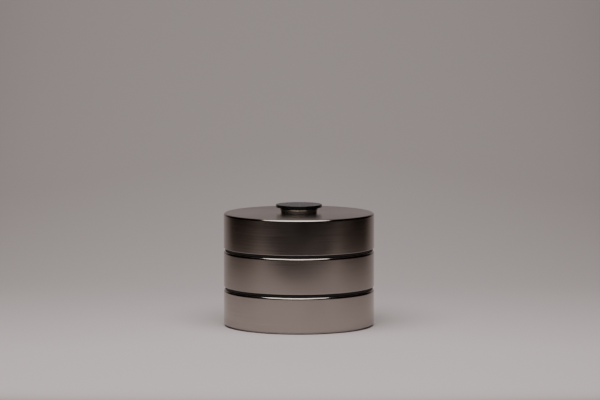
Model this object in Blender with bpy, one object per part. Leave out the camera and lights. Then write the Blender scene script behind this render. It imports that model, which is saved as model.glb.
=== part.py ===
"""Film developing tank for one 35 mm reel: a drawn steel cup, extension ring and lid that stack on stepped
lips, a filler neck with a stopper and light trap, and a wire reel on a lifting rod.

Metres, +Z up. The origin is the centre of the base's underside.
"""

import math

import bmesh
import bpy
from mathutils import Vector

MM = 0.001

# Driving dimensions, in millimetres.
TANK_RADIUS = 43.0
SHEET = 1.0
FIT = 0.3
BASE_TOP = 21.0
BAND_GAP = 1.4
RING_HEIGHT = 20.6
LID_HEIGHT = 20.0
LIP_STEP = 1.8
LIP_HEIGHT = 6.0
FLOOR_EDGE_RADIUS = 1.0
SHOULDER_RADIUS = 1.5
LID_EDGE_RADIUS = 0.8
HEM_THICKNESS = 1.5
HEM_HEIGHT = 6.4
SEAL_WIDTH = 0.7
NECK_RADIUS = 10.4
NECK_WALL = 1.0
NECK_ABOVE_LID = 2.9
NECK_FLANGE_RADIUS = 12.5
CAP_RADIUS = 13.15
CAP_THICKNESS = 1.6
CAP_EDGE_RADIUS = 0.5
PLUG_CLEARANCE = 0.4
PLUG_WALL = 2.0
PLUG_DEPTH = 7.0
CAP_SEAL_WIRE = 1.1
TRAP_CUP_RADIUS = 16.0
TRAP_SHEET = 0.8
TRAP_CUP_FLOOR = 52.0
TRAP_CUP_HEIGHT = 6.0
TRAP_SKIRT_RADIUS = 19.3
TRAP_SKIRT_FLANGE = 22.0
TRAP_SKIRT_BOTTOM = 55.0
NECK_BOTTOM = 55.5
POST_COUNT = 3
POST_RADIUS = 0.8
POST_CIRCLE = 13.9
FOOT_RADIUS = 18.0
FOOT_THICKNESS = 1.0
FOOT_HOLE_RADIUS = 2.6
FOOT_HOLE_CIRCLE = 10.5
FOOT_HOLES = 6
ROD_RADIUS = 1.25
EYE_RADIUS = 3.1
EYE_CENTRE = 46.6
EYE_TURN = 300.0
SPOKE_RADIUS = 1.0
SPOKE_BEND = 2.0
SPOKE_COUNT = 4
SPOKE_TIP = 38.6
CORE_WIRE_CIRCLE = 13.5
SPIRAL_WIRE_RADIUS = 0.6
SPIRAL_START = 15.8
SPIRAL_END = 38.0
FILM_PITCH = 2.33
FILM_WIDTH = 35.0
FILM_CLEARANCE = 0.6
BAND_SHEET = 0.6
BAND_CLEAR_OF_SPIRAL = 1.0
SLOT_HALF_ANGLE = 26.0
CLIP_SHEET = 0.5
CLIP_LOW = 14.0
CLIP_HIGH = 31.0

TURNED_STEPS = 60
SMALL_STEPS = 36
POST_STEPS = 10
ARC_STEPS = 2
BEND_STEPS = 4
SECTION_STEPS = 6
HOLE_STEPS = 16
EYE_STEPS = 16
BAND_STEPS = 28
SPIRAL_STEPS = 16
STOUT_WIRE_ROUNDNESS = 2
SPIRAL_ROUNDNESS = 1
SMOOTH_UNDER_DEGREES = 35

# Heights worked out from the stack.
RING_BOTTOM = BASE_TOP + BAND_GAP
RING_TOP = RING_BOTTOM + RING_HEIGHT
LID_BOTTOM = RING_TOP + BAND_GAP
LID_TOP = LID_BOTTOM + LID_HEIGHT
LID_UNDER = LID_TOP - SHEET
NECK_TOP = LID_TOP + NECK_ABOVE_LID
CAP_UNDER = NECK_TOP + FIT
CAP_TOP = CAP_UNDER + CAP_THICKNESS

# Radii worked out from the sheet and the lips.
BORE = TANK_RADIUS - SHEET
LIP_OUTER = TANK_RADIUS - LIP_STEP
LIP_INNER = LIP_OUTER - SHEET
HEM_BORE = TANK_RADIUS - HEM_THICKNESS
NECK_BORE = NECK_RADIUS - NECK_WALL
LID_HOLE = NECK_RADIUS + FIT
PLUG_RADIUS = NECK_BORE - PLUG_CLEARANCE

# The reel stands on the lifter's foot, and the foot on the floor.
FOOT_BOTTOM = SHEET + FIT
FOOT_TOP = FOOT_BOTTOM + FOOT_THICKNESS
LOW_SPOKE = FOOT_TOP + FIT + SPOKE_RADIUS
HIGH_SPOKE = LOW_SPOKE + 2 * SPOKE_RADIUS + FILM_WIDTH + FILM_CLEARANCE
SPIRAL_OFFSET = SPOKE_RADIUS + FIT + SPIRAL_WIRE_RADIUS


def material(name, colour, roughness, metallic):
    """A Principled material with one finish all over."""
    made = bpy.data.materials.new(name)
    made.use_nodes = True
    shader = made.node_tree.nodes["Principled BSDF"]
    shader.inputs["Base Color"].default_value = (*colour, 1.0)
    shader.inputs["Roughness"].default_value = roughness
    shader.inputs["Metallic"].default_value = metallic
    return made


def empty(name, height, parent=None):
    """An empty on the tank's axis that carries one moving group."""
    made = bpy.data.objects.new(name, None)
    bpy.context.collection.objects.link(made)
    made.parent = parent
    made.location = (0.0, 0.0, height * MM)
    return made


def add_object(name, data, finish, parent):
    """Links a piece under its group's empty, with its mesh written about the tank's own origin."""
    made = bpy.data.objects.new(name, data)
    bpy.context.collection.objects.link(made)
    data.materials.append(finish)
    made.parent = parent
    bpy.context.view_layer.update()
    made.matrix_parent_inverse = parent.matrix_world.inverted()
    return made


def mesh_from(shape, name):
    """Turns a bmesh in millimetres into a smooth-shaded mesh in metres."""
    bmesh.ops.remove_doubles(shape, verts=shape.verts, dist=0.001)
    bmesh.ops.recalc_face_normals(shape, faces=shape.faces)
    bmesh.ops.scale(shape, vec=(MM, MM, MM), verts=shape.verts)
    mesh = bpy.data.meshes.new(name)
    shape.to_mesh(mesh)
    shape.free()
    mesh.shade_smooth()
    mesh.set_sharp_from_angle(angle=math.radians(SMOOTH_UNDER_DEGREES))
    return mesh


def arc(centre, radius, start, end, steps=ARC_STEPS):
    """Points on an arc about centre, from start to end in degrees."""
    points = []
    for step in range(steps + 1):
        angle = math.radians(start + (end - start) * step / steps)
        points.append((centre[0] + radius * math.cos(angle), centre[1] + radius * math.sin(angle)))
    return points


def turned(name, outline, finish, parent, steps=TURNED_STEPS):
    """Turns an outline of (radius, height) points about the tank's axis."""
    shape = bmesh.new()
    points = [shape.verts.new((radius, 0.0, height)) for radius, height in outline]
    edges = [shape.edges.new(pair) for pair in zip(points, points[1:])]
    if outline[0][0] > 0:
        edges.append(shape.edges.new((points[-1], points[0])))
    bmesh.ops.spin(
        shape,
        geom=points + edges,
        cent=(0.0, 0.0, 0.0),
        axis=(0.0, 0.0, 1.0),
        angle=math.tau,
        steps=steps,
        use_merge=True,
    )
    return add_object(name, mesh_from(shape, name), finish, parent)


def wire(name, points, radius, roundness, finish, parent):
    """A round wire along points in millimetres, with filled ends."""
    curve = bpy.data.curves.new(name, "CURVE")
    curve.dimensions = "3D"
    curve.bevel_depth = radius * MM
    curve.bevel_resolution = roundness
    curve.use_fill_caps = True
    spline = curve.splines.new("POLY")
    spline.points.add(len(points) - 1)
    for target, point in zip(spline.points, points):
        target.co = (*(value * MM for value in point), 1.0)
    return add_object(name, curve, finish, parent)


def lip_and_shoulder(shoulder):
    """Outline points from the lip's inner foot over its top and out round the shoulder, for a section that
    carries another one."""
    return [
        (LIP_INNER, shoulder - SHEET),
        (LIP_INNER, shoulder + LIP_HEIGHT),
        (LIP_OUTER, shoulder + LIP_HEIGHT),
        (LIP_OUTER, shoulder),
        *arc((TANK_RADIUS - SHOULDER_RADIUS, shoulder - SHOULDER_RADIUS), SHOULDER_RADIUS, 90, 0),
    ]


def rolled_rim(bottom):
    """Outline points up the outside of the rolled rim, round its foot and over the hem inside."""
    round_radius = HEM_THICKNESS / 2
    middle = TANK_RADIUS - round_radius
    return [
        *arc((middle, bottom + round_radius), round_radius, 0, -180, 2 * ARC_STEPS),
        (HEM_BORE, bottom + HEM_HEIGHT),
        (BORE, bottom + HEM_HEIGHT),
    ]


def build_base(parent, steel, rubber):
    floor_corner = TANK_RADIUS - FLOOR_EDGE_RADIUS
    outline = [
        (0.0, SHEET),
        (BORE, SHEET),
        (BORE, BASE_TOP - SHEET),
        *lip_and_shoulder(BASE_TOP),
        *arc((floor_corner, FLOOR_EDGE_RADIUS), FLOOR_EDGE_RADIUS, 0, -90),
        (0.0, 0.0),
    ]
    turned("base_cup", outline, steel, parent)
    seal_ring("lower_seal", BASE_TOP, rubber, parent)


def build_ring(parent, steel, rubber):
    outline = [
        *rolled_rim(RING_BOTTOM),
        (BORE, RING_TOP - SHEET),
        *lip_and_shoulder(RING_TOP),
    ]
    turned("extension_ring", outline, steel, parent)
    seal_ring("upper_seal", RING_TOP, rubber, parent)


def seal_ring(name, shoulder, rubber, parent):
    """A flat rubber ring round the foot of a lip, under the next section's rim."""
    inner = LIP_OUTER + FIT
    low = shoulder + FIT
    high = shoulder + BAND_GAP - FIT
    outline = [(inner, low), (inner + SEAL_WIDTH, low), (inner + SEAL_WIDTH, high), (inner, high)]
    turned(name, outline, rubber, parent)


def build_lid(parent, steel):
    edge = LID_EDGE_RADIUS
    outline = [
        *rolled_rim(LID_BOTTOM),
        (BORE, LID_UNDER),
        (LID_HOLE, LID_UNDER),
        (LID_HOLE, LID_TOP),
        *arc((TANK_RADIUS - edge, LID_TOP - edge), edge, 90, 0),
    ]
    turned("lid_shell", outline, steel, parent)


def build_neck(parent, steel):
    """The neck is a tube pushed up through the lid, with a flange that is welded under it."""
    flange_top = LID_UNDER - FIT
    flange_bottom = flange_top - SHEET
    outline = [
        (NECK_BORE, NECK_BOTTOM),
        (NECK_RADIUS, NECK_BOTTOM),
        (NECK_RADIUS, flange_bottom),
        (NECK_FLANGE_RADIUS, flange_bottom),
        (NECK_FLANGE_RADIUS, flange_top),
        (NECK_RADIUS, flange_top),
        (NECK_RADIUS, NECK_TOP),
        (NECK_BORE, NECK_TOP),
    ]
    turned("filler_neck", outline, steel, parent, SMALL_STEPS)


def build_light_trap(parent, steel):
    """A cup under the neck and a skirt round it: liquid runs over both edges, and light meets a wall."""
    under = LID_UNDER - FIT
    cup_bore = TRAP_CUP_RADIUS - TRAP_SHEET
    rim = TRAP_CUP_FLOOR + TRAP_CUP_HEIGHT
    cup = [
        (0.0, TRAP_CUP_FLOOR),
        (TRAP_CUP_RADIUS, TRAP_CUP_FLOOR),
        (TRAP_CUP_RADIUS, rim),
        (cup_bore, rim),
        (cup_bore, TRAP_CUP_FLOOR + TRAP_SHEET),
        (0.0, TRAP_CUP_FLOOR + TRAP_SHEET),
    ]
    turned("trap_cup", cup, steel, parent, SMALL_STEPS)
    skirt_bore = TRAP_SKIRT_RADIUS - TRAP_SHEET
    skirt = [
        (skirt_bore, TRAP_SKIRT_BOTTOM),
        (TRAP_SKIRT_RADIUS, TRAP_SKIRT_BOTTOM),
        (TRAP_SKIRT_RADIUS, under - TRAP_SHEET),
        (TRAP_SKIRT_FLANGE, under - TRAP_SHEET),
        (TRAP_SKIRT_FLANGE, under),
        (skirt_bore, under),
    ]
    turned("trap_skirt", skirt, steel, parent, SMALL_STEPS)
    low = TRAP_CUP_FLOOR + TRAP_SHEET + FIT
    for number in range(POST_COUNT):
        angle = math.tau * number / POST_COUNT
        post = turned(
            f"trap_post_{number + 1}",
            [(0.0, low), (POST_RADIUS, low), (POST_RADIUS, under), (0.0, under)],
            steel,
            parent,
            POST_STEPS,
        )
        post.location += Vector((math.cos(angle), math.sin(angle), 0.0)) * POST_CIRCLE * MM


def build_cap(parent, plastic, rubber):
    """A stopper: a thin round flange on a hollow plug, with an O-ring in the plug's groove."""
    bottom = CAP_UNDER - PLUG_DEPTH
    plug_bore = PLUG_RADIUS - PLUG_WALL
    seal_radius = CAP_SEAL_WIRE / 2
    seal_height = CAP_UNDER - PLUG_DEPTH / 2
    groove_low = seal_height - seal_radius - FIT
    groove_high = seal_height + seal_radius + FIT
    groove_radius = PLUG_RADIUS - CAP_SEAL_WIRE / 2 - FIT
    edge = CAP_EDGE_RADIUS
    outline = [
        (0.0, CAP_UNDER),
        (plug_bore, CAP_UNDER),
        (plug_bore, bottom),
        (PLUG_RADIUS, bottom),
        (PLUG_RADIUS, groove_low),
        (groove_radius, groove_low),
        (groove_radius, groove_high),
        (PLUG_RADIUS, groove_high),
        (PLUG_RADIUS, CAP_UNDER),
        *arc((CAP_RADIUS - edge, CAP_UNDER + edge), edge, -90, 0),
        *arc((CAP_RADIUS - edge, CAP_TOP - edge), edge, 0, 90),
        (0.0, CAP_TOP),
    ]
    turned("cap", outline, plastic, parent, SMALL_STEPS)
    ring_centre = groove_radius + seal_radius + FIT / 2
    section = arc((ring_centre, seal_height), seal_radius, 0, 360, SECTION_STEPS)[:-1]
    turned("cap_seal", section, rubber, parent, SMALL_STEPS)


def build_lifter(parent, steel):
    """A drilled plate under the reel, and a rod with an eye that stands on it."""
    foot = turned(
        "lifter_foot",
        [(0.0, FOOT_BOTTOM), (FOOT_RADIUS, FOOT_BOTTOM), (FOOT_RADIUS, FOOT_TOP), (0.0, FOOT_TOP)],
        steel,
        parent,
        SMALL_STEPS,
    )
    middle = (FOOT_BOTTOM + FOOT_TOP) / 2
    for number in range(FOOT_HOLES):
        angle = math.tau * (number + 0.5) / FOOT_HOLES
        bpy.ops.mesh.primitive_cylinder_add(
            vertices=HOLE_STEPS,
            radius=FOOT_HOLE_RADIUS * MM,
            depth=3 * FOOT_THICKNESS * MM,
            location=(
                FOOT_HOLE_CIRCLE * MM * math.cos(angle),
                FOOT_HOLE_CIRCLE * MM * math.sin(angle),
                middle * MM,
            ),
        )
        cutter = bpy.context.object
        cutter.name = f"drain_hole_cutter_{number + 1}"
        cutter.hide_render = True
        cutter.display_type = "WIRE"
        cut = foot.modifiers.new(f"drain_hole_{number + 1}", "BOOLEAN")
        cut.operation = "DIFFERENCE"
        cut.object = cutter
    eye = arc((EYE_RADIUS, EYE_CENTRE), EYE_RADIUS, 180, 180 - EYE_TURN, EYE_STEPS)
    path = [(0.0, 0.0, FOOT_TOP + FIT)] + [(across, 0.0, height) for across, height in eye]
    wire("lifter_rod", path, ROD_RADIUS, STOUT_WIRE_ROUNDNESS, steel, parent)


def frame_wire_path(angle):
    """One U-shaped wire: in along the bottom, up beside the core and out along the top."""
    inner = CORE_WIRE_CIRCLE
    bend = SPOKE_BEND
    path = [
        (SPOKE_TIP, LOW_SPOKE),
        *arc((inner + bend, LOW_SPOKE + bend), bend, 270, 180, BEND_STEPS),
        *arc((inner + bend, HIGH_SPOKE - bend), bend, 180, 90, BEND_STEPS),
        (SPOKE_TIP, HIGH_SPOKE),
    ]
    return [(r * math.cos(angle), r * math.sin(angle), height) for r, height in path]


def spiral_path(height):
    """One flat spiral that holds the film's edge between its turns."""
    turns = (SPIRAL_END - SPIRAL_START) / FILM_PITCH
    count = round(turns * SPIRAL_STEPS)
    path = []
    for step in range(count + 1):
        angle = math.tau * turns * step / count
        radius = SPIRAL_START + FILM_PITCH * angle / math.tau
        path.append((radius * math.cos(angle), radius * math.sin(angle), height))
    return path


def strip(name, centre_line, thickness, low, high, finish, parent):
    """Sheet steel bent along a line in plan, standing from low to high."""
    sides = ([], [])
    for number, point in enumerate(centre_line):
        before = Vector(centre_line[max(number - 1, 0)])
        after = Vector(centre_line[min(number + 1, len(centre_line) - 1)])
        along = (after - before).normalized()
        across = Vector((-along.y, along.x)) * thickness / 2
        sides[0].append(Vector(point) + across)
        sides[1].append(Vector(point) - across)
    shape = bmesh.new()
    outline = sides[0] + sides[1][::-1]
    corners = [shape.verts.new((point.x, point.y, low)) for point in outline]
    last = len(corners) - 1
    faces = []
    for number in range(len(centre_line) - 1):
        pair = (corners[number], corners[number + 1], corners[last - number - 1], corners[last - number])
        faces.append(shape.faces.new(pair))
    raised = bmesh.ops.extrude_face_region(shape, geom=faces, use_keep_orig=True)
    moved = [item for item in raised["geom"] if isinstance(item, bmesh.types.BMVert)]
    bmesh.ops.translate(shape, vec=(0.0, 0.0, high - low), verts=moved)
    return add_object(name, mesh_from(shape, name), finish, parent)


def clip_line():
    """The clip in plan: from one edge of the band's slot in to the nip, round the back and out again."""
    half = [(10.6, 4.2), (9.4, 2.3), (8.2, 0.8), (6.8, 1.5), (5.2, 2.0), (3.9, 1.3)]
    return half + [(3.4, 0.0)] + [(across, -side) for across, side in reversed(half)]


def build_reel(parent, steel):
    """Two wire spirals on four U-shaped wires, with a slotted band and a film clip at the core."""
    for number in range(SPOKE_COUNT):
        angle = math.tau * (number + 0.5) / SPOKE_COUNT
        path = frame_wire_path(angle)
        wire(f"frame_wire_{number + 1}", path, SPOKE_RADIUS, STOUT_WIRE_ROUNDNESS, steel, parent)
    low_spiral = LOW_SPOKE + SPIRAL_OFFSET
    high_spiral = HIGH_SPOKE - SPIRAL_OFFSET
    for name, height in (("bottom_spiral", low_spiral), ("top_spiral", high_spiral)):
        wire(name, spiral_path(height), SPIRAL_WIRE_RADIUS, SPIRAL_ROUNDNESS, steel, parent)
    band_radius = CORE_WIRE_CIRCLE - SPOKE_RADIUS - FIT - BAND_SHEET / 2
    band = arc((0.0, 0.0), band_radius, SLOT_HALF_ANGLE, 360 - SLOT_HALF_ANGLE, BAND_STEPS)
    band_low = low_spiral + BAND_CLEAR_OF_SPIRAL
    band_high = high_spiral - BAND_CLEAR_OF_SPIRAL
    strip("core_band", band, BAND_SHEET, band_low, band_high, steel, parent)
    strip("film_clip", clip_line(), CLIP_SHEET, CLIP_LOW, CLIP_HIGH, steel, parent)


def main():
    for item in list(bpy.data.objects):
        bpy.data.objects.remove(item)
    steel = material("drawn_stainless_steel", (0.36, 0.33, 0.31), 0.32, 1.0)
    reel_steel = material("stainless_wire", (0.55, 0.54, 0.52), 0.25, 1.0)
    plastic = material("black_moulded_plastic", (0.012, 0.011, 0.012), 0.3, 0.0)
    rubber = material("black_rubber", (0.01, 0.01, 0.01), 0.7, 0.0)
    base = empty("base_group", 0.0)
    ring = empty("ring_group", RING_BOTTOM, base)
    lid = empty("lid_group", LID_BOTTOM - RING_BOTTOM, ring)
    cap = empty("cap_group", CAP_UNDER - LID_BOTTOM, lid)
    lifter = empty("lifter_group", FOOT_BOTTOM, base)
    reel = empty("reel_group", LOW_SPOKE - FOOT_BOTTOM, lifter)
    build_base(base, steel, rubber)
    build_ring(ring, steel, rubber)
    build_lid(lid, steel)
    build_neck(lid, steel)
    build_light_trap(lid, steel)
    build_cap(cap, plastic, rubber)
    build_lifter(lifter, reel_steel)
    build_reel(reel, reel_steel)


main()
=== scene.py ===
"""The looks of a single-reel film developing tank: a drawn steel cup, ring and lid, a filler neck with a
black stopper and light trap, and a wire reel on a lifting rod."""

import math

import bmesh
import bpy
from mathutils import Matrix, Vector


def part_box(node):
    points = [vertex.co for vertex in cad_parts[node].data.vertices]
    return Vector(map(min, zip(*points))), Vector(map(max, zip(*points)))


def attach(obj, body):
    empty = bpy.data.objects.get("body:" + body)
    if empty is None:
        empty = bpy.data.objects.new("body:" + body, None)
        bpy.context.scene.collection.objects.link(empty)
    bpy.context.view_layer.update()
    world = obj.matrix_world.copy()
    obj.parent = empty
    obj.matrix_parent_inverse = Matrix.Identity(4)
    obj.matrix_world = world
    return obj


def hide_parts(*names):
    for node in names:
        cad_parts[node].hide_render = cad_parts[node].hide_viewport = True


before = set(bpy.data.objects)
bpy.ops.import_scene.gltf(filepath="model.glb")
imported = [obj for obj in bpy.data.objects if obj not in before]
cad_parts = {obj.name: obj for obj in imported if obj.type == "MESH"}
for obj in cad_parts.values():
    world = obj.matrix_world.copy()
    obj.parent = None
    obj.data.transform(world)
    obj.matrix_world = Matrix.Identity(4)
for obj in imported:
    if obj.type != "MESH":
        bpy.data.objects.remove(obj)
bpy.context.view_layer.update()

# ---------------------------------------------------------------------------------------- studio
# A sheet of pale paper lies under the tank and curves up behind it. It is lit by one soft box overhead, and
# its fall-off into shade towards the front of the room is painted into its colour.

MM = 0.001


def colour(code):
    """An sRGB hex colour such as "#B4ACA5" as linear red, green, blue and alpha."""
    values = [int(code[at : at + 2], 16) / 255 for at in (1, 3, 5)]
    linear = [v / 12.92 if v <= 0.04045 else ((v + 0.055) / 1.055) ** 2.4 for v in values]
    return (*linear, 1.0)


def add_node(tree, kind, inputs=None, **settings):
    """Adds a shader node with its own settings. inputs maps a socket to a value or another node's output."""
    made = tree.nodes.new(kind)
    for key, value in settings.items():
        setattr(made, key, value)
    for socket, value in (inputs or {}).items():
        if isinstance(value, bpy.types.NodeSocket):
            tree.links.new(value, made.inputs[socket])
        else:
            made.inputs[socket].default_value = value
    return made


def new_material(name):
    """A new material with a bare Principled shader. Returns the material, its node tree and the shader."""
    made = bpy.data.materials.new(name)
    made.use_nodes = True
    return made, made.node_tree, made.node_tree.nodes["Principled BSDF"]


def smooth_sweep():
    """The paper: a plane whose back edge is pulled up in a round curve to a wall."""
    front, back, half_width = -1.6, 0.16, 3.0
    bend_radius, wall_top = 0.5, 2.4
    bpy.ops.object.select_all(action="DESELECT")
    bpy.ops.mesh.primitive_plane_add(size=1.0, location=(0.0, (front + back) / 2, 0.0))
    paper = bpy.context.object
    paper.name = "studio_paper"
    paper.scale = (2 * half_width, back - front, 1.0)
    bpy.ops.object.transform_apply(location=True, rotation=True, scale=True)
    bpy.ops.object.mode_set(mode="EDIT")
    bpy.ops.mesh.select_mode(type="EDGE")
    bpy.ops.mesh.select_all(action="DESELECT")
    shape = bmesh.from_edit_mesh(paper.data)
    for edge in shape.edges:
        edge.select_set(all(abs(v.co.y - back) < MM for v in edge.verts))
    bmesh.update_edit_mesh(paper.data)
    steps = 24
    for step in range(steps):
        before = math.pi / 2 * step / steps
        after = math.pi / 2 * (step + 1) / steps
        move = (
            0.0,
            bend_radius * (math.sin(after) - math.sin(before)),
            bend_radius * (math.cos(before) - math.cos(after)),
        )
        bpy.ops.mesh.extrude_region_move(TRANSFORM_OT_translate={"value": move})
    bpy.ops.mesh.extrude_region_move(TRANSFORM_OT_translate={"value": (0.0, 0.0, wall_top)})
    bpy.ops.object.mode_set(mode="OBJECT")
    bpy.ops.object.shade_smooth()
    return paper


# Background paper, matt, with its light and shade painted into its colour: palest under the tank, painted a
# shade greyer up the wall, and painted dark at its far front and sides, where it leaves the light. It
# darkens faster towards the front than sideways.
LIT_AHEAD = 0.222
FADE_AHEAD = 4.6
FADE_SIDEWAYS = 0.84
FADE_LENGTH = 0.8
GREYER_FROM, GREYEST_AT = -0.06, 0.42
GREYER_SIDEWAYS = 0.3
paper = smooth_sweep()
paper_look, tree, shader = new_material("graduated_background_paper")
place = add_node(tree, "ShaderNodeTexCoord")
axes = add_node(tree, "ShaderNodeSeparateXYZ", {0: place.outputs["Object"]})
past_front = add_node(tree, "ShaderNodeMath", {0: axes.outputs["Y"], 1: LIT_AHEAD}, operation="ADD")
ahead = add_node(tree, "ShaderNodeMath", {0: past_front.outputs[0], 1: 0.0}, operation="MINIMUM")
forward = add_node(tree, "ShaderNodeMath", {0: ahead.outputs[0], 1: FADE_AHEAD}, operation="MULTIPLY")
sideways = add_node(tree, "ShaderNodeMath", {0: axes.outputs["X"], 1: FADE_SIDEWAYS}, operation="MULTIPLY")
outward = add_node(tree, "ShaderNodeCombineXYZ", {0: sideways.outputs[0], 1: forward.outputs[0]})
away = add_node(tree, "ShaderNodeVectorMath", {0: outward.outputs[0]}, operation="LENGTH")
away_share = add_node(
    tree, "ShaderNodeMapRange", {0: away.outputs["Value"], 1: 0.0, 2: FADE_LENGTH, 3: 0.0, 4: 1.0}
)
# Painted shade: the paper's colour darkens towards the front and sides, where the soft box's light falls
# off.
shade_out = add_node(tree, "ShaderNodeValToRGB", {0: away_share.outputs[0]})
shade_out.color_ramp.interpolation = "B_SPLINE"
for position, grey in ((0.0, 1.0), (0.2, 0.97), (0.32, 0.68), (0.43, 0.2), (0.57, 0.035), (0.8, 0.006)):
    stop = shade_out.color_ramp.elements.new(position)
    stop.color = (grey, grey**1.12, grey**1.25, 1.0)
shade_out.color_ramp.elements.remove(shade_out.color_ramp.elements[0])
shade_out.color_ramp.elements[-1].color = (0.006, 0.006, 0.006, 1.0)
aside = add_node(tree, "ShaderNodeMath", {0: axes.outputs["X"]}, operation="ABSOLUTE")
wider = add_node(tree, "ShaderNodeMath", {0: aside.outputs[0], 1: GREYER_SIDEWAYS}, operation="MULTIPLY")
further = add_node(tree, "ShaderNodeMath", {0: axes.outputs["Y"], 1: wider.outputs[0]}, operation="ADD")
back_share = add_node(
    tree, "ShaderNodeMapRange", {0: further.outputs[0], 1: GREYER_FROM, 2: GREYEST_AT, 3: 0.0, 4: 1.0}
)
# Painted shade: the paper is painted greyer up the wall and to the sides, where less light falls.
tone = add_node(tree, "ShaderNodeValToRGB", {0: back_share.outputs[0]})
tone.color_ramp.elements[0].color = colour("#D3CBCD")
tone.color_ramp.elements[1].color = colour("#A59E9F")
dimmed = add_node(
    tree,
    "ShaderNodeVectorMath",
    {0: tone.outputs[0], 1: shade_out.outputs[0]},
    operation="MULTIPLY",
)
tree.links.new(dimmed.outputs[0], shader.inputs["Base Color"])
shader.inputs["Roughness"].default_value = 0.85
shader.inputs["Specular IOR Level"].default_value = 0.1
# From behind, the paper isn't there, so that the tank can be looked at from every side.
seen_side = add_node(tree, "ShaderNodeNewGeometry")
behind = add_node(tree, "ShaderNodeBsdfTransparent")
either = add_node(
    tree,
    "ShaderNodeMixShader",
    {0: seen_side.outputs["Backfacing"], 1: shader.outputs[0], 2: behind.outputs[0]},
)
tree.links.new(either.outputs[0], tree.nodes["Material Output"].inputs["Surface"])
paper.data.materials.append(paper_look)


def soft_box(name, size, place, aim, watts, shade):
    """An oval soft box at place, turned to face aim: a wide area lamp that narrows at its ends."""
    data = bpy.data.lights.new(name, "AREA")
    data.shape = "ELLIPSE"
    data.size, data.size_y = size
    data.energy = watts
    data.color = colour(shade)[:3]
    lamp = bpy.data.objects.new(name, data)
    bpy.context.collection.objects.link(lamp)
    lamp.location = place
    direction = [a - p for a, p in zip(aim, place)]
    turn = math.atan2(direction[1], direction[0]) - math.pi / 2
    tilt = math.atan2(-direction[2], math.hypot(direction[0], direction[1]))
    lamp.rotation_euler = (math.pi / 2 - tilt, 0.0, turn)
    return lamp


soft_box(
    "overhead_soft_box",
    size=(1.36, 1.2),
    place=(-0.05, -0.33, 0.95),
    aim=(0.0, 0.0, 0.0),
    watts=14.3,
    shade="#FFFBF8",
)

world = bpy.data.worlds.new("dim_room")
bpy.context.scene.world = world
world.use_nodes = True
sky = world.node_tree.nodes["Background"]
sky.inputs["Color"].default_value = colour("#8C7060")
sky.inputs["Strength"].default_value = 0.008

lens = bpy.data.cameras.new("long_lens")
lens.lens = 182.1
lens.sensor_width = 36.0
lens.clip_start = 0.05
lens.clip_end = 20.0
LOOKING_DOWN = 5.534
camera = bpy.data.objects.new("camera", lens)
bpy.context.collection.objects.link(camera)
camera.location = (0.0006, -1.724, 0.23865)
camera.rotation_euler = (math.radians(90.0 - LOOKING_DOWN), 0.0, 0.0)
bpy.context.scene.camera = camera

# -------------------------------------------------------------------------------------- base cup
# The base is a cup drawn from 1 mm stainless sheet. Its rim is necked in to a lip that the next
# section slides over, and its outside is brushed round the axis.

SHEET = 1.0
TANK_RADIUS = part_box("base_cup")[1].x / MM
LIP_HEIGHT = 6.0
BASE_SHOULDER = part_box("base_cup")[1].z / MM - LIP_HEIGHT
LIP_RADIUS = TANK_RADIUS - 1.8
SHOULDER_ROUND = 1.5
ROUND_STEPS = 192


def select_loops(piece, places):
    """In edit mode, selects the edges that run round the axis at any of these (radius, height) places."""
    near = 0.02
    shape = bmesh.from_edit_mesh(piece.data)
    found = set()
    for vertex in shape.verts:
        radius = math.hypot(vertex.co.x, vertex.co.y) / MM
        height = vertex.co.z / MM
        if any(abs(radius - r) < near and abs(height - z) < near for r, z in places):
            found.add(vertex)
    for edge in shape.edges:
        start, end = edge.verts
        level = abs(start.co.z - end.co.z) < near * MM
        across = abs(start.co.to_2d().length - end.co.to_2d().length) < near * MM
        if start in found and end in found and level and across:
            edge.select_set(True)
    bmesh.update_edit_mesh(piece.data)


def press_round(name, outline, steps=ROUND_STEPS):
    """A round piece, from a circle at the outline's first (radius, height) that is extruded and scaled along
    the rest, in millimetres. It closes on itself, or at the axis where the outline starts or ends there."""
    start_closed = outline[0][0] == 0
    end_closed = outline[-1][0] == 0
    path = outline[1:] if start_closed else outline
    path = path[:-1] if end_closed else path
    radius, height = path[0]
    bpy.ops.object.select_all(action="DESELECT")
    bpy.ops.mesh.primitive_circle_add(
        vertices=steps,
        radius=radius * MM,
        fill_type="TRIFAN" if start_closed else "NOTHING",
        location=(0.0, 0.0, height * MM),
    )
    piece = bpy.context.object
    piece.name = name
    bpy.ops.object.transform_apply(location=True, rotation=True, scale=True)
    bpy.ops.object.mode_set(mode="EDIT")
    bpy.ops.mesh.select_mode(type="EDGE")
    bpy.ops.mesh.select_all(action="DESELECT")
    select_loops(piece, [path[0]])
    for (radius, height), (next_radius, next_height) in zip(path, path[1:]):
        rise = (0.0, 0.0, (next_height - height) * MM)
        bpy.ops.mesh.extrude_region_move(TRANSFORM_OT_translate={"value": rise})
        grow = next_radius / radius
        bpy.ops.transform.resize(value=(grow, grow, 1.0), center_override=(0.0, 0.0, next_height * MM))
    if end_closed:
        bpy.ops.mesh.extrude_region_move(TRANSFORM_OT_translate={"value": (0.0, 0.0, 0.0)})
        bpy.ops.mesh.merge(type="CENTER")
    elif not start_closed:
        bpy.ops.mesh.extrude_region_move(TRANSFORM_OT_translate={"value": (0.0, 0.0, 0.0)})
        radius, height = path[-1]
        grow = path[0][0] / radius
        rise = (0.0, 0.0, (path[0][1] - height) * MM)
        bpy.ops.transform.translate(value=rise)
        bpy.ops.transform.resize(value=(grow, grow, 1.0), center_override=(0.0, 0.0, path[0][1] * MM))
    bpy.ops.mesh.select_all(action="SELECT")
    bpy.ops.mesh.remove_doubles(threshold=0.002 * MM)
    bpy.ops.mesh.normals_make_consistent(inside=False)
    bpy.ops.object.mode_set(mode="OBJECT")
    return piece


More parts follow.
